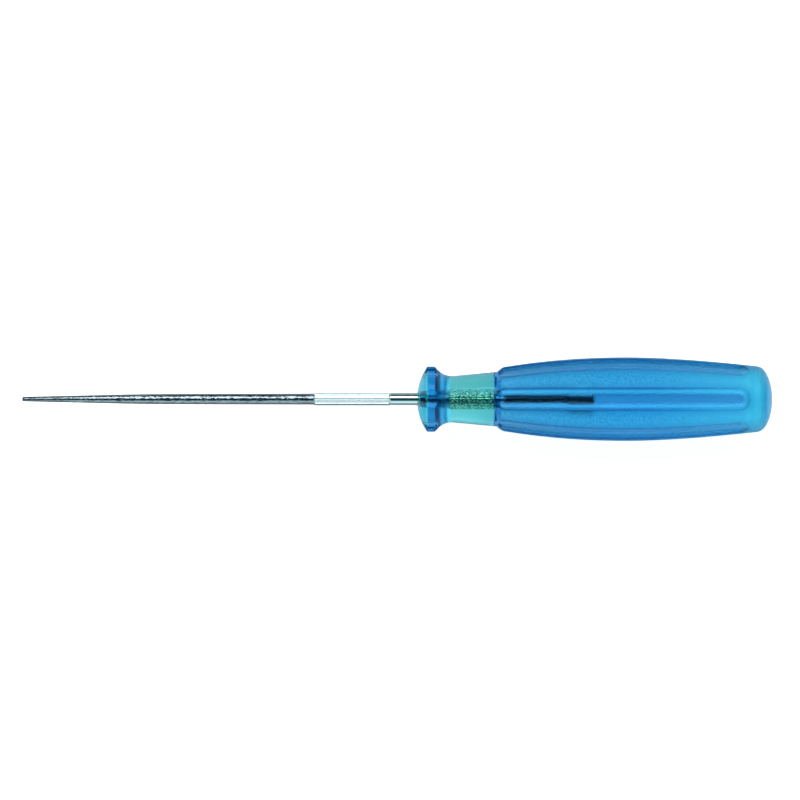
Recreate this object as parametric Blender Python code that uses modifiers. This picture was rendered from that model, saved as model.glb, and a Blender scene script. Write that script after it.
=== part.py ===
"""Straight hand pick: a tapered steel blade whose tang is cast into a fluted plastic handle.

Metres, +Z up. The tool lies along X with its point towards -X, and the origin is on its axis,
halfway along it. Each piece is modelled upright on its own Z axis, with the handle's front face at
z = 0 and the point below it, and one empty lays the whole tool down.
"""
import math

import bmesh
import bpy
from mathutils import Vector

MM = 0.001

# Blade, from the point to the handle's front face
BLADE_REACH = 100.0 * MM
BAR_D = 3.2 * MM
GRIND_DEPTH = 0.165 * MM
POINT_LENGTH = 31.5 * MM
POINT_ROOT_D = 2.66 * MM
TIP_D = 1.15 * MM
TIP_ROUND = 0.25 * MM

# Rolled straight knurls, for the fingers and for the plastic to grip
KNURL_TEETH = 24
KNURL_TOOTH = 0.22 * MM
KNURL_RUN_IN = 0.3 * MM
GRIP_KNURL_RAISE = 0.1 * MM
GRIP_KNURL_LENGTH = 18.9 * MM
GRIP_KNURL_TO_HANDLE = 7.0 * MM
TANG_KNURL_RAISE = 0.2 * MM
TANG_KNURL_START = 8.0 * MM
TANG_KNURL_LENGTH = 12.0 * MM

# Tang, with two ears pressed out of the round bar, whose section keeps its area
TANG_LENGTH = 45.0 * MM
TANG_CHAMFER = 0.5 * MM
EAR_LENGTH = 8.0 * MM
EAR_BLEND = 2.0 * MM
EAR_SPAN = 5.4 * MM

# Clearance between the tang and the plastic round it
CAST_GAP = 0.3 * MM

# Handle, front to back: domed face, flange, neck, shoulder, barrel and crowned end
FACE_DOME_R = 14.5 * MM
FLANGE_D = 16.6 * MM
RIM_WIDTH = 1.95 * MM
FLANGE_BACK_ANGLE = math.radians(48.0)
NECK_FILLET = 4.7 * MM
NECK_FRONT_D = 10.95 * MM
NECK_REAR_D = 13.9 * MM
NECK_LENGTH = 15.7 * MM
SHOULDER_LENGTH = 2.6 * MM
SHOULDER_D = 16.55 * MM
BELLY_D = 21.22 * MM
BELLY_FROM_SHOULDER = 30.9 * MM
TAIL_D = 16.67 * MM
TAIL_FROM_BELLY = 32.5 * MM
CROWN_DEPTH = 3.8 * MM
BARREL_FRONT_POWER = 2.15
BARREL_REAR_POWER = 1.66

# Finger flutes along the grip, which notch the flange in line so that the tool can't roll away
FLUTES = 6
FLUTE_R = 4.2 * MM
FLUTE_DEPTH = 1.25 * MM
FLANGE_NOTCH_DEPTH = 0.9 * MM
FLUTE_END_FROM_TAIL = 2.4 * MM

# Fineness of the meshes
HANDLE_STEPS = 72
SHOULDER_POINTS = 6
BARREL_POINTS = 15
FLUTE_POINTS = 18
FLUTE_SIDES = 24
ARC_STEP = math.radians(9.0)
SHARP_ANGLE = math.radians(25.0)
CUT_OVERRUN = 2.0 * MM
WELD = 0.001 * MM

# Places along the axis and other values that follow from the sizes above
GROUND_D = BAR_D - 2 * GRIND_DEPTH
GRIP_KNURL_D = BAR_D + 2 * GRIP_KNURL_RAISE
TANG_KNURL_D = BAR_D + 2 * TANG_KNURL_RAISE
EAR_THICKNESS = BAR_D**2 / EAR_SPAN
RIM_START = FACE_DOME_R - math.sqrt(FACE_DOME_R**2 - (FLANGE_D / 2) ** 2)
RIM_END = RIM_START + RIM_WIDTH
SHOULDER = RIM_END + NECK_LENGTH
BARREL_START = SHOULDER + SHOULDER_LENGTH
BELLY = BARREL_START + BELLY_FROM_SHOULDER
TAIL = BELLY + TAIL_FROM_BELLY
HANDLE_END = TAIL + CROWN_DEPTH
FLUTE_END = TAIL - FLUTE_END_FROM_TAIL
GRIP_KNURL_START = -GRIP_KNURL_TO_HANDLE - GRIP_KNURL_LENGTH
MIDDLE = (HANDLE_END - BLADE_REACH) / 2


def barrel_radius(z):
    """Radius of the grip's lobes: a full belly that falls away to the shoulder and the tail."""
    belly = BELLY_D / 2
    if z < BELLY:
        end, span, power = SHOULDER_D / 2, BELLY_FROM_SHOULDER, BARREL_FRONT_POWER
    else:
        end, span, power = TAIL_D / 2, TAIL_FROM_BELLY, BARREL_REAR_POWER
    return belly - (belly - end) * (abs(z - BELLY) / span) ** power


def arc(centre, radius, start, end):
    """Points (radius, z) on an arc, with both ends, its angles measured from the +radius side."""
    count = max(2, math.ceil(abs(end - start) / ARC_STEP))
    angles = [start + (end - start) * i / count for i in range(count + 1)]
    return [(centre[0] + radius * math.cos(a), centre[1] + radius * math.sin(a)) for a in angles]


def face_dome():
    """Front face, from the axis out to the rim."""
    edge = math.asin(FLANGE_D / 2 / FACE_DOME_R)
    return arc((0.0, FACE_DOME_R), FACE_DOME_R, -math.pi / 2, edge - math.pi / 2)


def flange_back():
    """Fillet from the sloping back of the flange into the tapering neck."""
    taper = math.atan2((NECK_REAR_D - NECK_FRONT_D) / 2, NECK_LENGTH)
    rim = FLANGE_D / 2

    # Corner where the flange's back and the line of the neck would meet without the fillet
    fall, rise = math.tan(FLANGE_BACK_ANGLE), math.tan(taper)
    depth = (rim - NECK_FRONT_D / 2) / (fall + rise)
    corner = (rim - depth * fall, RIM_END + depth)

    # The fillet is tangent to both lines, so its centre is square to the neck from its own end
    turn = FLANGE_BACK_ANGLE + taper
    run = NECK_FILLET * math.tan(turn / 2)
    end = (corner[0] + run * math.sin(taper), corner[1] + run * math.cos(taper))
    centre = (end[0] + NECK_FILLET * math.cos(taper), end[1] - NECK_FILLET * math.sin(taper))
    return arc(centre, NECK_FILLET, math.pi + FLANGE_BACK_ANGLE, math.pi - taper)


def shoulder():
    """Rounded step from the neck out to the start of the grip, without its two ends."""
    step = (SHOULDER_D - NECK_REAR_D) / 2
    shares = [i / SHOULDER_POINTS for i in range(1, SHOULDER_POINTS)]
    return [(SHOULDER_D / 2 - step * (1 - s) ** 2, SHOULDER + SHOULDER_LENGTH * s) for s in shares]


def barrel():
    """Outer line of the grip, between its shoulder and its tail."""
    span = TAIL - BARREL_START
    places = [BARREL_START + span * i / (BARREL_POINTS - 1) for i in range(BARREL_POINTS)]
    return [(barrel_radius(z), z) for z in places]


def crown():
    """Half-elliptical end of the handle, from the tail to the axis."""
    count = math.ceil(math.pi / 2 / ARC_STEP)
    angles = [math.pi / 2 * i / count for i in range(1, count + 1)]
    return [(TAIL_D / 2 * math.cos(a), TAIL + CROWN_DEPTH * math.sin(a)) for a in angles]


def bar_outline(gap):
    """Bare tang outline grown by the gap, from the handle's face to the end of the tang."""
    bar, knurl = BAR_D / 2 + gap, TANG_KNURL_D / 2 + gap
    knurl_end = TANG_KNURL_START + TANG_KNURL_LENGTH
    ear_end = TANG_LENGTH + gap
    ear_start = TANG_LENGTH - EAR_LENGTH
    return [
        (bar, TANG_KNURL_START - gap),
        (knurl, TANG_KNURL_START + KNURL_RUN_IN - gap),
        (knurl, knurl_end - KNURL_RUN_IN + gap),
        (bar, knurl_end + gap),
        (bar, ear_start - gap),
        (bar, ear_start + EAR_BLEND - gap),
        (bar, ear_end - TANG_CHAMFER),
        (bar - TANG_CHAMFER, ear_end),
        (0.0, ear_end),
    ]


def blade_outline():
    """Outline of the whole bar, from the point to the end of the tang."""
    tip = -BLADE_REACH
    point_end = tip + POINT_LENGTH
    knurl_end = GRIP_KNURL_START + GRIP_KNURL_LENGTH
    crest = GRIP_KNURL_D / 2
    return [
        (0.0, tip),
        *arc((TIP_D / 2 - TIP_ROUND, tip + TIP_ROUND), TIP_ROUND, -math.pi / 2, 0.0),
        (POINT_ROOT_D / 2, point_end),
        (GROUND_D / 2, GRIP_KNURL_START - KNURL_RUN_IN),
        (crest, GRIP_KNURL_START),
        (crest, knurl_end),
        (BAR_D / 2, knurl_end + KNURL_RUN_IN),
        *bar_outline(0.0),
    ]


def collection(name):
    group = bpy.data.collections.new(name)
    bpy.context.scene.collection.children.link(group)
    return group


def material(name, colour, roughness, metallic, transmission=0.0):
    mat = bpy.data.materials.new(name)
    mat.use_nodes = True
    shader = mat.node_tree.nodes["Principled BSDF"]
    shader.inputs["Base Color"].default_value = (*colour, 1.0)
    shader.inputs["Roughness"].default_value = roughness
    shader.inputs["Metallic"].default_value = metallic
    shader.inputs["Transmission Weight"].default_value = transmission
    return mat


def turned(name, outline, steps, group, closed=False):
    """Object turned about its Z axis from an outline of (radius, z) points, front to back."""
    mesh = bpy.data.meshes.new(name)
    points = [(radius, 0.0, z) for radius, z in reversed(outline)]
    edges = [(i, i + 1) for i in range(len(points) - 1)]
    if closed:
        edges.append((len(points) - 1, 0))
    mesh.from_pydata(points, edges, [])
    ob = bpy.data.objects.new(name, mesh)
    group.objects.link(ob)
    screw = ob.modifiers.new("turn", "SCREW")
    screw.steps = screw.render_steps = steps
    screw.use_merge_vertices = True
    screw.merge_threshold = WELD
    return ob


def as_mesh(ob):
    """Replaces an object's modifiers or curve by the mesh they make, ready for editing or cutting."""
    graph = bpy.context.evaluated_depsgraph_get()
    mesh = bpy.data.meshes.new_from_object(ob.evaluated_get(graph))
    bm = bmesh.new()
    bm.from_mesh(mesh)
    bmesh.ops.remove_doubles(bm, verts=bm.verts, dist=WELD)
    bm.to_mesh(mesh)
    bm.free()
    name, groups = ob.name, ob.users_collection
    made = bpy.data.objects.new(name, mesh)
    made.matrix_world = ob.matrix_world
    for group in groups:
        group.objects.link(made)
    bpy.data.objects.remove(ob)
    made.name = name
    return made


def roll_knurl(bm, start, end, steps):
    """Sinks every other point between two places along the bar, which leaves straight teeth."""
    for v in bm.verts:
        turn = round(math.atan2(v.co.y, v.co.x) / (2 * math.pi / steps))
        if start < v.co.z < end and turn % 2:
            radius = math.hypot(v.co.x, v.co.y)
            v.co.xy *= (radius - KNURL_TOOTH) / radius


def press_ears(bm, gap):
    """Flattens the end of the tang into two ears, with the gap all round."""
    spread = Vector((EAR_THICKNESS + 2 * gap, EAR_SPAN + 2 * gap)) / (BAR_D + 2 * gap)
    for v in bm.verts:
        if v.co.z > TANG_LENGTH - EAR_LENGTH + EAR_BLEND / 2:
            v.co.x *= spread.x
            v.co.y *= spread.y


def edit(ob, *steps):
    """Runs mesh edits, each given as a function and its other arguments, on an object."""
    bm = bmesh.new()
    bm.from_mesh(ob.data)
    for function, *arguments in steps:
        function(bm, *arguments)
    bm.to_mesh(ob.data)
    bm.free()


def make_blade(group):
    steps = 2 * KNURL_TEETH
    blade = as_mesh(turned("blade", blade_outline(), steps, group))
    grip_end = GRIP_KNURL_START + GRIP_KNURL_LENGTH
    tang_end = TANG_KNURL_START + TANG_KNURL_LENGTH
    inside = KNURL_RUN_IN / 2
    edit(
        blade,
        (roll_knurl, GRIP_KNURL_START - inside, grip_end + inside, steps),
        (roll_knurl, TANG_KNURL_START + inside, tang_end - inside, steps),
        (press_ears, 0.0),
    )
    return blade


def make_tang_cutter(group):
    """Space for the tang: its outline grown by the gap, and open at the handle's front face."""
    outline = [(0.0, -CUT_OVERRUN), (BAR_D / 2 + CAST_GAP, -CUT_OVERRUN), *bar_outline(CAST_GAP)]
    cutter = as_mesh(turned("tang_cutter", outline, KNURL_TEETH, group))
    edit(cutter, (press_ears, CAST_GAP))
    return cutter


def flute_path():
    """Points (radius, z, share of the cutter's radius) along a flute, from the flange to a ball end."""
    reach = FLUTE_R - FLUTE_DEPTH
    ball = FLUTE_END - math.sqrt(FLUTE_R**2 - reach**2)
    span = ball - BARREL_START
    stations = [(BARREL_START + span * i / FLUTE_POINTS, 1.0) for i in range(FLUTE_POINTS)]
    count = math.ceil(math.pi / 2 / ARC_STEP)
    angles = [math.pi / 2 * i / count for i in range(count)]
    stations += [(ball + FLUTE_R * math.sin(a), math.cos(a)) for a in angles]
    notch = FLANGE_D / 2 - FLANGE_NOTCH_DEPTH + FLUTE_R
    return [
        (notch, -CUT_OVERRUN, 1.0),
        (notch, RIM_END + CUT_OVERRUN, 1.0),
        *[(barrel_radius(z) + reach, z, share) for z, share in stations],
    ]


def make_flute_cutters(group):
    """One round bar with a ball end for each flute, which passes the flange and follows the barrel."""
    path = flute_path()
    curve = bpy.data.curves.new("flute_cutter", "CURVE")
    curve.dimensions = "3D"
    curve.bevel_depth = FLUTE_R
    curve.bevel_resolution = FLUTE_SIDES // 2 - 2
    curve.use_fill_caps = True
    spline = curve.splines.new("POLY")
    spline.points.add(len(path) - 1)
    for point, (radius, z, share) in zip(spline.points, path):
        point.co = (radius, 0.0, z, 1.0)
        point.radius = share
    bar = bpy.data.objects.new("flute_cutter", curve)
    group.objects.link(bar)
    bar = as_mesh(bar)
    for i in range(1, FLUTES):
        copy = bpy.data.objects.new(f"flute_cutter_{i + 1}", bar.data)
        copy.rotation_euler.z = 2 * math.pi * i / FLUTES
        group.objects.link(copy)


def make_handle(group, cutters):
    make_tang_cutter(cutters)
    make_flute_cutters(cutters)
    rim = (FLANGE_D / 2, RIM_END)
    neck_end = (NECK_REAR_D / 2, SHOULDER)
    outline = [*face_dome(), rim, *flange_back(), neck_end, *shoulder(), *barrel(), *crown()]
    handle = turned("handle", outline, HANDLE_STEPS, group)
    boolean = handle.modifiers.new("cut", "BOOLEAN")
    boolean.operation = "DIFFERENCE"
    boolean.solver = "EXACT"
    boolean.operand_type = "COLLECTION"
    boolean.collection = cutters
    return as_mesh(handle)


def main():
    for ob in list(bpy.data.objects):
        bpy.data.objects.remove(ob)
    parts, cutters = collection("pick_tool"), collection("cutters")
    steel = material("plated_steel", (0.62, 0.65, 0.68), 0.2, 1.0)
    plastic = material("blue_plastic", (0.02, 0.28, 0.66), 0.25, 0.0, transmission=0.8)

    blade, handle = make_blade(parts), make_handle(parts, cutters)
    for ob, mat in ((blade, steel), (handle, plastic)):
        ob.data.shade_smooth()
        ob.data.set_sharp_from_angle(angle=SHARP_ANGLE)
        ob.data.materials.append(mat)
    for cutter in cutters.objects:
        cutter.hide_render = True
        cutter.display_type = "WIRE"

    axis = bpy.data.objects.new("tool_axis", None)
    parts.objects.link(axis)
    axis.location.x = -MIDDLE
    axis.rotation_euler.y = math.pi / 2
    for ob in (blade, handle, *cutters.objects):
        ob.parent = axis


main()
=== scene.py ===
"""Looks of a straight hand pick: a ground steel blade in a fluted, translucent blue handle."""
import math

import bmesh
import bpy
from mathutils import Matrix, Vector


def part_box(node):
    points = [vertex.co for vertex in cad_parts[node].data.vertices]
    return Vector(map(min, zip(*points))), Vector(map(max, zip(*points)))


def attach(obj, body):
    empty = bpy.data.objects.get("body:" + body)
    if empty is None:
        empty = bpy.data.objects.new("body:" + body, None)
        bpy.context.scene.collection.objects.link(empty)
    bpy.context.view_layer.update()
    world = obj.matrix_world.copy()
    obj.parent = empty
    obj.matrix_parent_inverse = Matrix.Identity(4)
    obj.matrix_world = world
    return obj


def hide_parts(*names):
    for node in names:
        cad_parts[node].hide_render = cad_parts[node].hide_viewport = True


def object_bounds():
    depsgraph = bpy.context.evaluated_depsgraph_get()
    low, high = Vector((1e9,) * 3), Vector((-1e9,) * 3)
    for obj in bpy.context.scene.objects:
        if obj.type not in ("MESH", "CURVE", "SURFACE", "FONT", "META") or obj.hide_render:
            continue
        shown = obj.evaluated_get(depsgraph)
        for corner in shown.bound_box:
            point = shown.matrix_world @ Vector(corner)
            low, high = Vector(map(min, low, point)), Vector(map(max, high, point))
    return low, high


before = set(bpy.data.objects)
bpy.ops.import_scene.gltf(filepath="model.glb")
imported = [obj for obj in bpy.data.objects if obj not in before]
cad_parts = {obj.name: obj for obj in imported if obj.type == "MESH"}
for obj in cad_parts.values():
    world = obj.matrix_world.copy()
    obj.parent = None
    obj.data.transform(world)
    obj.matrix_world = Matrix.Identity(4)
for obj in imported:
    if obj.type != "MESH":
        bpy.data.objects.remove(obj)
cad_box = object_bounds()

MM = 0.001

# Steel bar, with places measured from the handle's front face and the point on the minus side
BLADE_REACH = 100.0 * MM
TIP_D = 1.15 * MM
TIP_ROUND = 0.25 * MM
POINT_LENGTH = 31.5 * MM
POINT_ROOT_D = 2.66 * MM
POINT_BLEND = 0.2 * MM
GROUND_D = 2.87 * MM
BAR_D = 3.2 * MM
TEETH = 24
TOOTH_STEEPNESS = 1.15
GRIP_TOOTH = 0.22 * MM
TANG_TOOTH = 0.04 * MM
RUN_IN = 0.3 * MM
GRIP_KNURL = (-25.9 * MM, -7.0 * MM)
GRIP_KNURL_D = 3.4 * MM
TANG_KNURL = (8.0 * MM, 20.0 * MM)
TANG_KNURL_D = 3.6 * MM
TANG_LENGTH = 45.0 * MM
TANG_CHAMFER = 0.5 * MM
EAR_LENGTH = 8.0 * MM
EAR_BLEND = 2.0 * MM
EAR_SPAN = 5.4 * MM
EAR_THICKNESS = BAR_D**2 / EAR_SPAN

# How far the handle's socket lies inside the steel, so that no film of air shows between them
SHRINK = 0.01 * MM

# Handle, front to back
FACE_DOME_R = 14.5 * MM
FLANGE_D = 16.6 * MM
RIM_WIDTH = 1.95 * MM
FLANGE_BACK_ANGLE = math.radians(48.0)
NECK_FILLET = 4.7 * MM
NECK_FRONT_D = 10.95 * MM
NECK_REAR_D = 13.9 * MM
NECK_LENGTH = 15.7 * MM
SHOULDER_LENGTH = 2.6 * MM
SHOULDER_D = 16.55 * MM
BELLY_D = 21.22 * MM
BELLY_FROM_SHOULDER = 30.9 * MM
TAIL_D = 16.67 * MM
TAIL_FROM_BELLY = 32.5 * MM
CROWN_DEPTH = 3.8 * MM
BARREL_FRONT_POWER = 2.15
BARREL_REAR_POWER = 1.66
FLUTES = 6
FLUTE_R = 4.2 * MM
FLUTE_DEPTH = 1.25 * MM
FLUTE_EDGE = 0.3 * MM
FLANGE_NOTCH_DEPTH = 0.9 * MM
NOTCH_OVERRUN = 2.0 * MM
FLUTE_END_FROM_TAIL = 2.4 * MM

# Fineness of the meshes: steps round the axis, and points along the stretches of each outline
SPIN_STEPS = 360
NOSE_POINTS = 8
GROUND_POINTS = 40
GROUND_FROM_TIP = 1.0 * MM
GROUND_TO_KNURL = 20.0 * MM
EAR_POINTS = 8
FACE_POINTS = 14
NOTCHED_POINTS = 22
NOTCH_MARGIN = 0.3 * MM
RIM_POINTS = 8
SLOPE_POINTS = 8
FILLET_POINTS = 30
NECK_POINTS = 12
SHOULDER_POINTS = 18
BARREL_POINTS = 48
FLUTE_END_POINTS = 34
CROWN_POINTS = 24
BLADE_SHARP_ANGLE = math.radians(15.0)
HANDLE_SHARP_ANGLE = math.radians(30.0)
WELD = 0.0005 * MM

# Places that follow from the sizes above
RIM_START = FACE_DOME_R - math.sqrt(FACE_DOME_R**2 - (FLANGE_D / 2) ** 2)
RIM_END = RIM_START + RIM_WIDTH
SHOULDER = RIM_END + NECK_LENGTH
BARREL_START = SHOULDER + SHOULDER_LENGTH
BELLY = BARREL_START + BELLY_FROM_SHOULDER
TAIL = BELLY + TAIL_FROM_BELLY
FLUTE_END = TAIL - FLUTE_END_FROM_TAIL
FLUTE_BALL = FLUTE_END - math.sqrt(FLUTE_R**2 - (FLUTE_R - FLUTE_DEPTH) ** 2)
FLUTE_PITCH = 2 * math.pi / FLUTES
ROLLED_BANDS = ((GRIP_KNURL, 0.0, GRIP_TOOTH), (TANG_KNURL, RUN_IN, TANG_TOOTH))
FACE_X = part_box("blade")[0].x + BLADE_REACH

# Colours of the steel, in linear light
BARE_STEEL = (0.37, 0.51, 0.53, 1.0)
GROUND_STEEL = (0.19, 0.24, 0.26, 1.0)
POINT_STEEL = (0.1, 0.13, 0.15, 1.0)
# Painted light: the knurl is a paler copy of the plated steel, for the whiter look the knurl has
# under the lamps
KNURL_PAINTED_LIGHT = (0.62, 0.7, 0.71, 1.0)
TANG_FRONT = (0.16, 0.26, 0.32, 1.0)
# Painted glint: a green steel colour where the tang meets the handle's face, for green glints there
CUP_PAINTED_GLINT = (0.45, 1.0, 0.7, 1.0)
# Painted shade: the tang's rod inside the grip is near black, for the dark line it shows through the
# flutes
ROD_PAINTED_SHADE = (0.04, 0.045, 0.05, 1.0)
PIT_DARK = (0.13, 0.24, 0.21, 1.0)
PIT_BRIGHT = (0.8, 1.0, 0.8, 1.0)
# Painted shade down the middle of the ears and painted light at their edges, so that they carry on
# the rod's dark line and fade into the plastic
EAR_MIDDLE_PAINTED_SHADE = (0.06, 0.07, 0.08, 1.0)
EAR_EDGE_PAINTED_LIGHT = (0.6, 0.7, 0.72, 1.0)

# Colours of the plastic's surface, clear parts first, and what it soaks up inside
# Painted light and shade on one plastic, zone by zone: the neck greenish and pale, the slope and end
# paler, the crown bluer, and the face, flange, the ring behind the rim and the shoulder line darker
# painted shade
NECK_PAINTED_LIGHT = (0.42, 0.54, 0.42, 1.0)
FACE_PAINTED_SHADE = (0.03, 0.32, 0.2, 1.0)
CLEAR_CROWN = (0.26, 0.54, 0.62, 1.0)
END_PAINTED_LIGHT = (0.3, 0.75, 0.8, 1.0)
FLANGE_PAINTED_SHADE = (0.05, 0.24, 0.45, 1.0)
SLOPE_PAINTED_LIGHT = (0.38, 0.72, 0.86, 1.0)
BEHIND_RIM_PAINTED_SHADE = (0.03, 0.2, 0.6, 1.0)
SHOULDER_PAINTED_SHADE = (0.03, 0.16, 0.38, 1.0)
# Painted shade at the lobes' edges and painted light on their tops
LOBE_EDGE_PAINTED_SHADE = (0.3, 0.55, 0.68, 1.0)
LOBE_TOP_PAINTED_LIGHT = (0.8, 1.0, 1.0, 1.0)
DULL_FRONT = (0.2, 0.43, 0.62, 1.0)
DULL_REAR = (0.36, 1.0, 0.85, 1.0)
DULL_TAIL = (0.24, 0.44, 0.6, 1.0)
# Painted shade in the flutes' hollows
HOLLOW_PAINTED_SHADE = (0.3, 0.36, 0.57, 1.0)
# Painted shade along the flutes' creases
CREASE_PAINTED_SHADE = (0.01, 0.06, 0.22, 1.0)
# Painted shade: deeper blue where the surface turns away towards the outline
GRAZING_PAINTED_SHADE = (0.15, 0.42, 0.62, 1.0)
PLASTIC_SHEEN = (0.2, 0.6, 1.0, 1.0)
PLASTIC_TINT = (0.0, 0.81, 0.95, 1.0)
TINT_DENSITY = 150.0
PLASTIC_IOR = 1.45

# Roughness of the finishes
PLATED_ROUGH = 0.14
GROUND_ROUGH = 0.08
GROUND_ROUGH_SPREAD = 0.14
TANG_ROUGH = 0.25
CUP_ROUGH = 0.6
POLISHED = 0.04
CROWN_ROUGH = 0.16
SLOPE_ROUGH = 0.32
LOBE_ROUGH = 0.42
FLUTE_ROUGH = 0.14

# Studio
FLOOR_REACH = 4.0
FLOOR_WALL = 0.45
FLOOR_CURVE = 0.3
FLOOR_CURVE_POINTS = 12
FLOOR_STEPS = 96
FLOOR_PAINT = (0.8, 0.8, 0.8, 1.0)
LAMP_DISTANCE = 2.4
LAMP_LENGTH = 3.6
AIR_COLOUR = (0.3, 0.6, 1.0, 1.0)
WALL_COLOUR = (0.85, 1.0, 1.0, 1.0)

# Photograph's frame: its side in pixels, the tool's scale in it and where the tool's middle lies
PHOTO_SIDE = 800
PHOTO_MM_PER_PIXEL = 0.25345
PHOTO_MIDDLE = (397.25, 399.1)
CAMERA_HEIGHT = 1.5


def spread(start, end, count):
    """Evenly spaced values from start to end, without the end."""
    return [start + (end - start) * i / count for i in range(count)]


def soft_min(a, b, blend):
    """The smaller of two radii, with a rounded change-over."""
    near = max(blend - abs(a - b), 0.0) / blend
    return min(a, b) - near * near * blend / 4


def smooth_step(value):
    value = min(max(value, 0.0), 1.0)
    return value * value * (3 - 2 * value)


def spin(bm, points, axis, steps):
    """Turns a line of points once round an axis through the origin."""
    verts = [bm.verts.new(point) for point in points]
    edges = [bm.edges.new(pair) for pair in zip(verts, verts[1:])]
    bmesh.ops.spin(
        bm,
        geom=verts + edges,
        cent=(0.0, 0.0, 0.0),
        axis=axis,
        angle=2 * math.pi,
        steps=steps,
        use_merge=True,
    )


def spin_outline(bm, outline):
    """Turns an outline of (place, radius) points once round the tool's axis."""
    points = [(FACE_X + x, 0.0, radius) for x, radius in outline]
    spin(bm, points, (1.0, 0.0, 0.0), SPIN_STEPS)


def reshape(bm, radius_at):
    """Moves every point in or out to a new radius, given its place, angle from +Z and old radius."""
    for v in bm.verts:
        old = math.hypot(v.co.y, v.co.z)
        if old > WELD:
            new = radius_at(v.co.x - FACE_X, math.atan2(v.co.y, v.co.z), old)
            v.co.y *= new / old
            v.co.z *= new / old


def new_object(bm, name, material):
    """Welds a mesh, turns it right side out and makes it a smooth object in the scene."""
    bmesh.ops.remove_doubles(bm, verts=bm.verts, dist=WELD)
    bmesh.ops.recalc_face_normals(bm, faces=bm.faces)
    mesh = bpy.data.meshes.new(name)
    bm.to_mesh(mesh)
    bm.free()
    mesh.shade_smooth()
    mesh.materials.append(material)
    ob = bpy.data.objects.new(name, mesh)
    bpy.context.scene.collection.objects.link(ob)
    return ob


def finished(bm, name, material, sharp_angle):
    """Makes a closed mesh a piece of the tool, with sharp edges over an angle."""
    ob = new_object(bm, name, material)
    ob.data.set_sharp_from_angle(angle=sharp_angle)
    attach(ob, "root")
    return ob


# Steel bar


def tang_outline(inset):
    """Outline (place, radius) of the tang, from the handle's face to its end on the axis."""
    bar, knurl = BAR_D / 2 - inset, TANG_KNURL_D / 2 - inset
    ear, end = TANG_LENGTH - EAR_LENGTH, TANG_LENGTH - inset
    start, stop = TANG_KNURL
    return [
        (start, bar),
        (start + RUN_IN, knurl),
        (stop - RUN_IN, knurl),
        (stop, bar),
        *[(x, bar) for x in spread(ear, ear + EAR_BLEND, EAR_POINTS)],
        (ear + EAR_BLEND, bar),
        (end - TANG_CHAMFER, bar),
        (end, bar - TANG_CHAMFER),
        (end, 0.0),
    ]


def ground_radius(x):
    """Radius of the ground front: a straight taper that blends into the long bar behind it."""
    tip, root = -BLADE_REACH, GRIP_KNURL[0]
    end = tip + POINT_LENGTH
    taper = TIP_D / 2 + (POINT_ROOT_D - TIP_D) / 2 * (x - tip) / POINT_LENGTH
    bar = POINT_ROOT_D / 2 + (GROUND_D - POINT_ROOT_D) / 2 * (x - end) / (root - end)
    return soft_min(taper, bar, POINT_BLEND)


def bar_outline():
    """Outline (place, radius) of the exposed bar, from the point to the handle's face."""
    tip, (start, stop) = -BLADE_REACH, GRIP_KNURL
    turns = [math.pi / 2 * i / NOSE_POINTS for i in range(NOSE_POINTS + 1)]
    nose = TIP_D / 2 - TIP_ROUND
    crest = GRIP_KNURL_D / 2
    places = spread(tip + GROUND_FROM_TIP, start - GROUND_TO_KNURL, GROUND_POINTS)
    return [
        (tip, 0.0),
        *[(tip + TIP_ROUND * (1 - math.cos(a)), nose + TIP_ROUND * math.sin(a)) for a in turns],
        *[(x, ground_radius(x)) for x in places],
        (start - RUN_IN, GROUND_D / 2),
        (start, crest),
        (stop, crest),
        (stop + RUN_IN, BAR_D / 2),
        (0.0, BAR_D / 2),
    ]


def knurled(x, angle, radius):
    """Sinks straight grooves into both rolled bands."""
    wave = abs((angle * TEETH / (2 * math.pi)) % 1.0 - 0.5) * 2
    groove = 1 - smooth_step(wave * TOOTH_STEEPNESS)
    for (start, stop), run_in, tooth in ROLLED_BANDS:
        if start + run_in - WELD < x < stop - run_in + WELD:
            return radius - tooth * groove
    return radius


def press_ears(bm, inset):
    """Flattens the end of the tang into two ears."""
    flat = (EAR_THICKNESS - 2 * inset) / (BAR_D - 2 * inset)
    wide = (EAR_SPAN - 2 * inset) / (BAR_D - 2 * inset)
    for v in bm.verts:
        share = smooth_step((v.co.x - FACE_X - (TANG_LENGTH - EAR_LENGTH)) / EAR_BLEND)
        v.co.z *= 1 + (flat - 1) * share
        v.co.y *= 1 + (wide - 1) * share


def steel_blade(material):
    bm = bmesh.new()
    spin_outline(bm, bar_outline() + tang_outline(0.0))
    reshape(bm, knurled)
    press_ears(bm, 0.0)
    return finished(bm, "steel_blade", material, BLADE_SHARP_ANGLE)


# Handle


def barrel_radius(x):
    """Radius of the grip's lobes: a full belly that falls away to the shoulder and the tail."""
    belly = BELLY_D / 2
    if x < BELLY:
        end, span, power = SHOULDER_D / 2, BELLY_FROM_SHOULDER, BARREL_FRONT_POWER
    else:
        end, span, power = TAIL_D / 2, TAIL_FROM_BELLY, BARREL_REAR_POWER
    return belly - (belly - end) * (abs(x - BELLY) / span) ** power


def face_dome():
    """Domed front face from the bar out to the rim, closer spaced where the notches cut it."""
    inner = BAR_D / 2 - SHRINK
    rim = FLANGE_D / 2
    broad = rim - FLANGE_NOTCH_DEPTH - NOTCH_MARGIN
    radii = spread(inner, broad, FACE_POINTS) + spread(broad, rim, NOTCHED_POINTS)
    return [(FACE_DOME_R - math.sqrt(FACE_DOME_R**2 - r * r), r) for r in radii]


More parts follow.
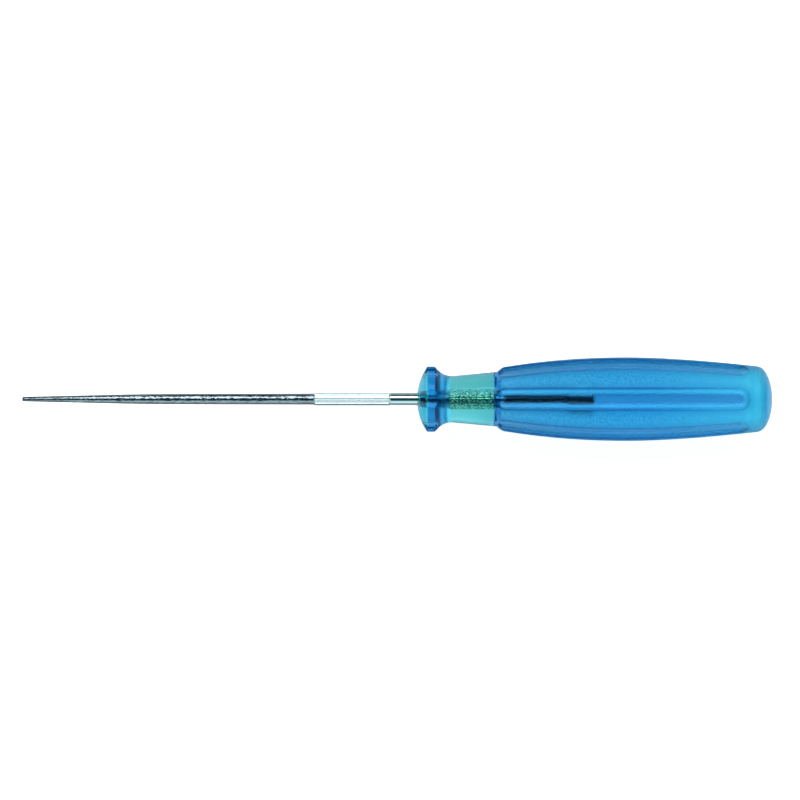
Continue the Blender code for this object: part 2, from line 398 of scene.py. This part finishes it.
def flange_back():
    """Sloping back of the flange and its fillet into the tapering neck."""
    taper = math.atan2((NECK_REAR_D - NECK_FRONT_D) / 2, NECK_LENGTH)
    rim = FLANGE_D / 2
    fall, rise = math.tan(FLANGE_BACK_ANGLE), math.tan(taper)
    depth = (rim - NECK_FRONT_D / 2) / (fall + rise)
    corner = Vector((RIM_END + depth, rim - depth * fall))
    run = NECK_FILLET * math.tan((FLANGE_BACK_ANGLE + taper) / 2)
    along = Vector((math.cos(taper), math.sin(taper)))
    centre = corner + along * run + NECK_FILLET * Vector((-along.y, along.x))
    back = Vector((math.cos(FLANGE_BACK_ANGLE), -math.sin(FLANGE_BACK_ANGLE)))
    start, stop = Vector((RIM_END, rim)), corner - back * run
    slope = [tuple(start.lerp(stop, share)) for share in spread(0.0, 1.0, SLOPE_POINTS)]
    turns = spread(-FLANGE_BACK_ANGLE, taper, FILLET_POINTS) + [taper]
    fillet = [
        (centre.x + NECK_FILLET * math.sin(a), centre.y - NECK_FILLET * math.cos(a)) for a in turns
    ]
    return slope + fillet


def shoulder():
    """Rounded step from the neck out to the start of the grip."""
    step = (SHOULDER_D - NECK_REAR_D) / 2
    shares = spread(0.0, 1.0, SHOULDER_POINTS)
    return [(SHOULDER + SHOULDER_LENGTH * s, SHOULDER_D / 2 - step * (1 - s) ** 2) for s in shares]


def skin_outline():
    """Outside of the handle, from the bar at its front face to the axis at its end."""
    run_out = FLUTE_END - FLUTE_R
    back = flange_back()
    neck_end = Vector((SHOULDER, NECK_REAR_D / 2))
    shares = spread(0.0, 1.0, NECK_POINTS)
    neck = [tuple(Vector(back[-1]).lerp(neck_end, share)) for share in shares]
    turns = spread(0.0, math.pi / 2, CROWN_POINTS)
    crown = [(TAIL + CROWN_DEPTH * math.sin(a), TAIL_D / 2 * math.cos(a)) for a in turns]
    places = spread(BARREL_START, run_out, BARREL_POINTS) + spread(run_out, TAIL, FLUTE_END_POINTS)
    return [
        *face_dome(),
        *[(x, FLANGE_D / 2) for x in spread(RIM_START, RIM_END, RIM_POINTS)],
        *back,
        *neck[1:],
        *shoulder(),
        *[(x, barrel_radius(x)) for x in places],
        *crown,
        (TAIL + CROWN_DEPTH, 0.0),
    ]


def flute_middle(x):
    """Distance from the axis to the middle line of the bars that hollow the flutes out."""
    notch = FLANGE_D / 2 - FLANGE_NOTCH_DEPTH + FLUTE_R
    grip = barrel_radius(max(x, BARREL_START)) + FLUTE_R - FLUTE_DEPTH
    start = RIM_END + NOTCH_OVERRUN
    share = min(max((x - start) / (BARREL_START - start), 0.0), 1.0)
    return notch + (grip - notch) * share


def off_flute(angle):
    """Angle round the axis from the nearest flute's middle."""
    return (angle + FLUTE_PITCH / 2) % FLUTE_PITCH - FLUTE_PITCH / 2


def flute_radius(x, angle):
    """Distance from the axis to the nearest flute's hollow, which ends in a ball at the tail."""
    off = off_flute(angle)
    middle = flute_middle(x)
    room = FLUTE_R**2 - max(x - FLUTE_BALL, 0.0) ** 2 - (middle * math.sin(off)) ** 2
    return middle * math.cos(off) - math.sqrt(room) if room > 0 else middle


def moulded(x, angle, radius):
    """Presses the notches into the flange and the flutes into the grip."""
    return soft_min(radius, flute_radius(x, angle), FLUTE_EDGE)


def mark_ridges(mesh):
    """Gives the skin its distance from the flutes' edges in millimetres, below 0 in the hollows."""
    heights = []
    for v in mesh.vertices:
        x = v.co.x - FACE_X
        off = off_flute(math.atan2(v.co.y, v.co.z))
        lobe = Vector((x, 0.0, barrel_radius(min(max(x, BARREL_START), TAIL))))
        lobe.rotate(Matrix.Rotation(off, 3, "X"))
        middle = Vector((min(x, FLUTE_BALL), 0.0, flute_middle(x)))
        heights.append(((lobe - middle).length - FLUTE_R) / MM)
    mesh.attributes.new("ridge", "FLOAT", "POINT").data.foreach_set("value", heights)


def fluted_handle(material):
    """The moulding, with a socket that the tang fills without any gap."""
    socket = bmesh.new()
    mouth = face_dome()[0]
    spin_outline(socket, [mouth] + tang_outline(SHRINK))
    reshape(socket, knurled)
    press_ears(socket, SHRINK)
    lining = bpy.data.meshes.new("lining")
    socket.to_mesh(lining)
    socket.free()
    bm = bmesh.new()
    spin_outline(bm, skin_outline())
    reshape(bm, moulded)
    bm.from_mesh(lining)
    bpy.data.meshes.remove(lining)
    ob = finished(bm, "fluted_handle", material, HANDLE_SHARP_ANGLE)
    mark_ridges(ob.data)
    return ob


# Finishes


class Nodes:
    """A node tree, with short calls that add and join nodes."""

    def __init__(self, tree):
        self.tree = tree
        tree.nodes.clear()

    def add(self, kind, inputs=None, **settings):
        """New node with some of its settings, and values or other nodes' outputs for its inputs."""
        node = self.tree.nodes.new(kind if kind.startswith("NodeGroup") else "ShaderNode" + kind)
        for key, value in settings.items():
            setattr(node, key, value)
        for key, value in (inputs or {}).items():
            if isinstance(value, bpy.types.NodeSocket):
                self.tree.links.new(value, node.inputs[key])
            else:
                node.inputs[key].default_value = value
        return node

    def math(self, operation, *values):
        return self.add("Math", dict(enumerate(values)), operation=operation).outputs[0]

    def mix(self, share, a, b):
        """Blend of two numbers, by a share from 0 to 1."""
        return self.add("Mix", {0: share, 2: a, 3: b}).outputs[0]

    def mix_colours(self, share, a, b):
        """Blend of two colours, by a share from 0 to 1."""
        return self.add("Mix", {0: share, 6: a, 7: b}, data_type="RGBA").outputs[2]

    def ramp(self, value, start, end):
        """Share that rises smoothly from 0 at one value to 1 at another."""
        values = {"Value": value, "From Min": start, "From Max": end}
        return self.add("MapRange", values, interpolation_type="SMOOTHSTEP").outputs[0]

    def zone(self, start, end, soft):
        """Share of 1 between two places along the tool, and 0 outside them."""
        places = {"Start": FACE_X + start, "End": FACE_X + end, "Soft": soft}
        return self.add("Group", places, node_tree=bpy.data.node_groups["axis_zone"]).outputs[0]

    def grain(self, scale, detail):
        """Noise from 0 to 1, with a scale along X, Y and Z in cells per metre."""
        values = {"Scale": scale, "Detail": detail}
        return self.add("Group", values, node_tree=bpy.data.node_groups["stretched_grain"]).outputs[0]


def new_group(name, inputs, output):
    """Empty shader node group with named inputs and one output; gives its nodes and both ends."""
    tree = bpy.data.node_groups.new(name, "ShaderNodeTree")
    for title, kind in inputs.items():
        tree.interface.new_socket(title, in_out="INPUT", socket_type="NodeSocket" + kind)
    tree.interface.new_socket(output, in_out="OUTPUT", socket_type="NodeSocketFloat")
    n = Nodes(tree)
    return n, n.add("NodeGroupInput").outputs, n.add("NodeGroupOutput").inputs


def axis_zone():
    """Group that gives 1 between two places along the tool's axis, with soft ends inside them."""
    inputs = {"Start": "Float", "End": "Float", "Soft": "Float"}
    n, given, result = new_group("axis_zone", inputs, "Zone")
    position = n.add("TexCoord").outputs["Object"]
    place = n.add("SeparateXYZ", {0: position}).outputs["X"]
    after = n.math("DIVIDE", n.math("SUBTRACT", place, given["Start"]), given["Soft"])
    before = n.math("DIVIDE", n.math("SUBTRACT", given["End"], place), given["Soft"])
    nearest = n.math("MINIMUM", after, before)
    share = n.add("MapRange", {"Value": nearest}, interpolation_type="SMOOTHSTEP").outputs[0]
    n.tree.links.new(share, result["Zone"])


def stretched_grain():
    """Group that gives noise which can be stretched along or across the tool."""
    n, given, result = new_group("stretched_grain", {"Scale": "Vector", "Detail": "Float"}, "Grain")
    position = n.add("TexCoord").outputs["Object"]
    stretched = n.add("VectorMath", {0: position, 1: given["Scale"]}, operation="MULTIPLY").outputs[0]
    noise = n.add("TexNoise", {"Vector": stretched, "Scale": 1.0, "Detail": given["Detail"]})
    n.tree.links.new(noise.outputs[0], result["Grain"])


def new_material(name):
    material = bpy.data.materials.new(name)
    material.use_nodes = True
    n = Nodes(material.node_tree)
    return material, n, n.add("OutputMaterial").inputs


def plated_steel():
    """Steel bar: coarse grinding marks up to the knurl, bright plating behind, a pitted dark tang;
    painted light on the knurl and the ears' edges, a painted green glint at the handle's face, and
    painted shade on the tang's rod and the ears' middle.
    """
    material, n, result = new_material("bright_steel")
    ground = n.zone(-BLADE_REACH - 2.0 * MM, GRIP_KNURL[0], 0.3 * MM)
    point = n.zone(-BLADE_REACH - 20.0 * MM, -BLADE_REACH + 17.0 * MM, 14.0 * MM)
    knurl = n.zone(GRIP_KNURL[0], GRIP_KNURL[1], 0.2 * MM)
    cup = n.zone(0.2 * MM, RIM_START + 0.4 * MM, 0.4 * MM)
    front = n.zone(0.2 * MM, TANG_KNURL[0] + 0.2 * MM, 0.4 * MM)
    band = n.zone(TANG_KNURL[0], TANG_KNURL[1], 0.2 * MM)
    rod = n.zone(TANG_KNURL[1] + 1.4 * MM, TANG_LENGTH + 2.0 * MM, 1.2 * MM)
    ears = n.zone(TANG_LENGTH - EAR_LENGTH, TANG_LENGTH + 2.0 * MM, 1.5 * MM)
    marks = n.grain((800.0, 1400.0, 1400.0), 2.0)
    specks = n.grain((3800.0, 3800.0, 3800.0), 2.0)

    colour = n.mix_colours(ground, BARE_STEEL, GROUND_STEEL)
    colour = n.mix_colours(point, colour, POINT_STEEL)
    # Painted light: the knurl paler than the plating
    colour = n.mix_colours(knurl, colour, KNURL_PAINTED_LIGHT)
    colour = n.mix_colours(front, colour, TANG_FRONT)
    # Painted glint: green steel just inside the handle's face
    colour = n.mix_colours(cup, colour, CUP_PAINTED_GLINT)
    # Painted shade: the rod near black
    colour = n.mix_colours(rod, colour, ROD_PAINTED_SHADE)
    pitted = n.mix_colours(n.ramp(specks, 0.42, 0.58), PIT_DARK, PIT_BRIGHT)
    colour = n.mix_colours(band, colour, pitted)
    across = n.add("SeparateXYZ", {0: n.add("TexCoord").outputs["Object"]}).outputs["Y"]
    # Painted shade down the ears' middle and painted light towards their edges
    edge = n.ramp(n.math("ABSOLUTE", across), 1.0 * MM, 2.2 * MM)
    ear_painted_shade_and_light = n.mix_colours(edge, EAR_MIDDLE_PAINTED_SHADE, EAR_EDGE_PAINTED_LIGHT)
    colour = n.mix_colours(ears, colour, ear_painted_shade_and_light)

    ground_rough = n.math("MULTIPLY_ADD", specks, GROUND_ROUGH_SPREAD, GROUND_ROUGH)
    worked = n.math("MAXIMUM", band, ears)
    rough = n.mix(ground, PLATED_ROUGH, ground_rough)
    rough = n.mix(n.math("MAXIMUM", front, worked), rough, TANG_ROUGH)
    rough = n.mix(cup, rough, CUP_ROUGH)
    pits = n.math("MULTIPLY", specks, n.math("MULTIPLY", worked, 0.6))
    height = n.math("MULTIPLY_ADD", marks, n.math("MULTIPLY", ground, 1.5), pits)
    bump = n.add("Bump", {"Strength": 1.0, "Distance": 0.1 * MM, "Height": height})
    shader = n.add(
        "BsdfPrincipled",
        {
            "Base Color": colour,
            "Metallic": 1.0,
            "Roughness": rough,
            "Normal": bump.outputs[0],
        },
    )
    n.tree.links.new(shader.outputs[0], result["Surface"])
    return material


def blue_plastic():
    """Clear blue plastic: polished flange, neck and end, and a grip frosted most on its lobes, with
    light and shade painted into its colour zone by zone.
    """
    material, n, result = new_material("clear_blue_plastic")
    grip = n.zone(SHOULDER + 0.6 * MM, TAIL + 0.6 * MM, 0.8 * MM)
    face = n.zone(-1.0 * MM, RIM_START, 0.5 * MM)
    crown = n.zone(TAIL, TAIL + CROWN_DEPTH + 1.0 * MM, 0.8 * MM)
    tail = n.zone(FLUTE_END - 0.5 * MM, TAIL + 2.0 * MM, 1.2 * MM)
    end = n.zone(TAIL + 1.2 * MM, TAIL + CROWN_DEPTH + 2.0 * MM, 1.4 * MM)
    flange = n.zone(RIM_START - 0.1 * MM, RIM_END + 1.8 * MM, 0.5 * MM)
    slope = n.zone(RIM_END - 0.1 * MM, RIM_END + 4.0 * MM, 0.9 * MM)
    behind_rim = n.zone(RIM_END - 0.1 * MM, RIM_END + 1.7 * MM, 0.4 * MM)
    shoulder_line = n.zone(SHOULDER - 0.5 * MM, SHOULDER + 1.4 * MM, 0.4 * MM)
    ridge = n.add("Attribute", attribute_name="ridge").outputs["Fac"]
    hollow = n.ramp(ridge, 0.1, -0.2)
    high = n.ramp(ridge, 0.0, 2.2)
    rear = n.zone(BELLY, TAIL + 40.0 * MM, 30.0 * MM)
    # Painted shade along the flutes' edges, weaker towards the tail
    near_edge = n.ramp(n.math("ABSOLUTE", ridge), 0.45, 0.15)
    crease_shade = n.math("MULTIPLY", near_edge, n.mix(rear, 0.9, 0.5))
    grain = n.ramp(n.grain((2300.0, 2300.0, 2300.0), 2.0), 0.38, 0.72)

    # Clear zones carry painted light and shade: greenish and pale on the neck, paler on the slope and
    # end, and darker painted shade on the face, flange, behind the rim and along the shoulder
    clear = n.mix_colours(face, NECK_PAINTED_LIGHT, FACE_PAINTED_SHADE)
    clear = n.mix_colours(crown, clear, CLEAR_CROWN)
    clear = n.mix_colours(end, clear, END_PAINTED_LIGHT)
    clear = n.mix_colours(flange, clear, FLANGE_PAINTED_SHADE)
    clear = n.mix_colours(slope, clear, SLOPE_PAINTED_LIGHT)
    clear = n.mix_colours(behind_rim, clear, BEHIND_RIM_PAINTED_SHADE)
    clear = n.mix_colours(shoulder_line, clear, SHOULDER_PAINTED_SHADE)

    # The frosted grip is speckled, with painted light on the lobes' tops, painted shade in the
    # hollows and the darkest painted shade along the flutes' edges
    lobe = n.mix_colours(high, LOBE_EDGE_PAINTED_SHADE, LOBE_TOP_PAINTED_LIGHT)
    dull = n.mix_colours(rear, DULL_FRONT, DULL_REAR)
    lobe = n.mix_colours(n.math("MULTIPLY", grain, 0.9), lobe, dull)
    lobe = n.mix_colours(n.math("MULTIPLY", tail, 0.5), lobe, DULL_TAIL)
    # Painted shade in the hollows
    frosted = n.mix_colours(hollow, lobe, HOLLOW_PAINTED_SHADE)
    frosted = n.mix_colours(crease_shade, frosted, CREASE_PAINTED_SHADE)
    colour = n.mix_colours(grip, clear, frosted)
    # Painted shade in deeper blue where the surface turns away towards the outline, none at the end
    grazing_shade = n.add("LayerWeight", {"Blend": 0.5}).outputs["Facing"]
    grazing_shade = n.math("MULTIPLY", grazing_shade, n.mix(end, 0.5, 0.0))
    colour = n.mix_colours(grazing_shade, colour, GRAZING_PAINTED_SHADE)

    polish = n.mix(slope, n.mix(crown, POLISHED, CROWN_ROUGH), SLOPE_ROUGH)
    rough = n.mix(grip, polish, n.mix(hollow, LOBE_ROUGH, FLUTE_ROUGH))
    height = n.math("MULTIPLY", grain, grip)
    bump = n.add("Bump", {"Strength": 1.0, "Distance": 0.04 * MM, "Height": height})
    shader = n.add(
        "BsdfPrincipled",
        {
            "Base Color": colour,
            "Roughness": rough,
            "IOR": PLASTIC_IOR,
            "Transmission Weight": 1.0,
            "Specular Tint": PLASTIC_SHEEN,
            "Normal": bump.outputs[0],
        },
    )
    tint = n.add("VolumeAbsorption", {"Color": PLASTIC_TINT, "Density": TINT_DENSITY})
    n.tree.links.new(shader.outputs[0], result["Surface"])
    n.tree.links.new(tint.outputs[0], result["Volume"])
    return material


def white_stage():
    """Matt white that the camera, metal and plastic see as a white ground with a faint shadow."""
    material, n, result = new_material("white_stage")
    light_path = n.add("LightPath").outputs
    glow = n.math("MULTIPLY", light_path["Is Camera Ray"], 0.9)
    glow = n.math("MULTIPLY_ADD", light_path["Is Transmission Ray"], 1.0, glow)
    glow = n.math("MULTIPLY_ADD", light_path["Is Glossy Ray"], 0.05, glow)
    paint = n.add("BsdfDiffuse", {"Color": FLOOR_PAINT})
    shine = n.add("Emission", {"Color": (1.0, 1.0, 1.0, 1.0), "Strength": glow})
    both = n.add("AddShader", {0: paint.outputs[0], 1: shine.outputs[0]})
    n.tree.links.new(both.outputs[0], result["Surface"])
    return material


# Studio


def pale_floor():
    """Round white floor under the tool, turned up at its far edge."""
    low = cad_box[0].z
    flat = FLOOR_REACH - FLOOR_CURVE
    turns = spread(0.0, math.pi / 2, FLOOR_CURVE_POINTS)
    profile = [
        (0.0, low),
        *[(flat + FLOOR_CURVE * math.sin(a), low + FLOOR_CURVE * (1 - math.cos(a))) for a in turns],
        (FLOOR_REACH, low + FLOOR_CURVE),
        (FLOOR_REACH, low + FLOOR_WALL),
    ]
    bm = bmesh.new()
    spin(bm, [(radius, 0.0, z) for radius, z in profile], (0.0, 0.0, 1.0), FLOOR_STEPS)
    floor = new_object(bm, "pale_floor", white_stage())


def softbox(name, lean, width, radiance, colour):
    """Large lamp over the tool, leaning from straight above towards +Y by an angle in degrees."""
    data = bpy.data.lights.new(name, "AREA")
    data.shape = "RECTANGLE"
    data.size = width
    data.size_y = LAMP_LENGTH
    data.energy = radiance * math.pi * width * LAMP_LENGTH
    data.color = colour
    lamp = bpy.data.objects.new(name, data)
    angle = math.radians(lean)
    way = Vector((0.0, math.sin(angle), math.cos(angle)))
    lamp.location = way * LAMP_DISTANCE
    lamp.rotation_euler = (-way).to_track_quat("-Z", "X").to_euler()
    lamp.visible_camera = False
    bpy.context.scene.collection.objects.link(lamp)


def studio():
    """Pale floor, two lamps and dim blue air, brighter low down for plastic and at -Y for metal."""
    pale_floor()
    softbox("key_softbox", lean=38.0, width=1.3, radiance=4.6, colour=(1.0, 1.0, 1.0))
    softbox("fill_softbox", lean=-60.0, width=1.2, radiance=0.9, colour=(0.92, 1.0, 0.98))
    world = bpy.data.worlds.new("studio")
    bpy.context.scene.world = world
    world.use_nodes = True
    n = Nodes(world.node_tree)
    light_path = n.add("LightPath").outputs
    through = light_path["Is Transmission Ray"]
    way = n.add("SeparateXYZ", {0: n.add("TexCoord").outputs["Generated"]}).outputs
    low = n.math("MULTIPLY", through, n.ramp(way["Z"], 0.55, 0.1))
    in_metal = n.math("MULTIPLY", light_path["Is Glossy Ray"], n.math("SUBTRACT", 1.0, through))
    wall = n.math("MULTIPLY", in_metal, n.ramp(way["Y"], -0.36, -0.6))
    strength = n.mix(wall, n.math("MULTIPLY_ADD", low, 0.8, 0.1), 1.0)
    colour = n.mix_colours(wall, AIR_COLOUR, WALL_COLOUR)
    air = n.add("Background", {"Color": colour, "Strength": strength})
    n.add("OutputWorld", {"Surface": air.outputs[0]})


def camera():
    """Straight above the tool, framed as the photograph is."""
    pixel = PHOTO_MM_PER_PIXEL * MM
    data = bpy.data.cameras.new("camera")
    data.sensor_width = 36.0
    data.lens = data.sensor_width * CAMERA_HEIGHT / (PHOTO_SIDE * pixel)
    ob = bpy.data.objects.new("camera", data)
    ob.location = (
        (PHOTO_SIDE / 2 - PHOTO_MIDDLE[0]) * pixel,
        (PHOTO_MIDDLE[1] - PHOTO_SIDE / 2) * pixel,
        CAMERA_HEIGHT,
    )
    bpy.context.scene.collection.objects.link(ob)
    bpy.context.scene.camera = ob


axis_zone()
stretched_grain()
blade = steel_blade(plated_steel())
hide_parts("blade")
handle = fluted_handle(blue_plastic())
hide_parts("handle")

studio()
camera()
bpy.context.scene.view_settings.view_transform = "Standard"
